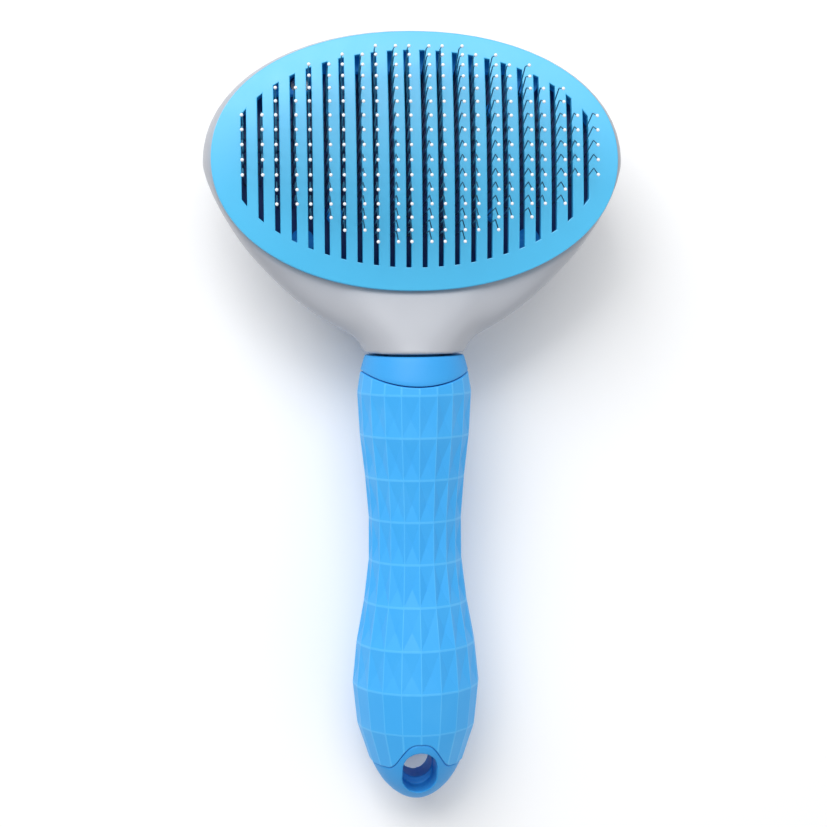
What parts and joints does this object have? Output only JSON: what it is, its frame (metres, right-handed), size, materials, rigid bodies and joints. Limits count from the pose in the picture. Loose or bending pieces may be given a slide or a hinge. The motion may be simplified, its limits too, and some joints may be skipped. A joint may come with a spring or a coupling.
{
  "type": "slicker brush",
  "caption": "Self-cleaning slicker brush with bent ball-tipped pins, a slotted plate that a rear button pushes forward, and a waisted soft grip with a hang hole.",
  "frame": {"origin": "middle of the brush's length and width, on the surface that it lies on", "axes": "+Y from the handle to the head, +Z the way the pins point, +X to the right as the pins face the viewer with the head up"},
  "size_m": [0.1044, 0.194, 0.0514],
  "materials": {
    "grey_shell": "satin",
    "blue_plate": "satin gloss",
    "blue_core": "satin",
    "blue_grip": "matte",
    "blue_button": "satin",
    "carrier_plastic": "satin",
    "pad_rubber": "matte",
    "pin_wire": "bright",
    "tip_white": "gloss",
    "spring_steel": "bright",
    "screw_steel": "bright"
  },
  "bodies": {
    "brush": {"back_shell": "grey_shell", "pin_carrier": "carrier_plastic", "cushion_pad": "pad_rubber", "carrier_screws": "screw_steel", "handle_core": "blue_core", "grip_sleeve": "blue_grip", "neck_screw": "screw_steel", "return_spring": "spring_steel", "pin_row_01": "pin_wire", "pin_row_02": "pin_wire", "pin_row_03": "pin_wire", "pin_row_04": "pin_wire", "pin_row_05": "pin_wire", "pin_row_06": "pin_wire", "pin_row_07": "pin_wire", "pin_row_08": "pin_wire", "pin_row_09": "pin_wire", "pin_row_10": "pin_wire", "pin_row_11": "pin_wire", "tip_row_01": "tip_white", "tip_row_02": "tip_white", "tip_row_03": "tip_white", "tip_row_04": "tip_white", "tip_row_05": "tip_white", "tip_row_06": "tip_white", "tip_row_07": "tip_white", "tip_row_08": "tip_white", "tip_row_09": "tip_white", "tip_row_10": "tip_white", "tip_row_11": "tip_white"},
    "ejector": {"ejector_plate": "blue_plate", "pusher_frame": "carrier_plastic", "button_cap": "blue_button"}
  },
  "joints": [
    {"name": "plate_eject", "type": "slide", "parent": "brush", "child": "ejector", "axis": [0, 0, 1], "range_m": [0, 0.01], "stiffness_N_per_m": 400, "springref_m": -0.008, "deforming": ["return_spring"]}
  ]
}
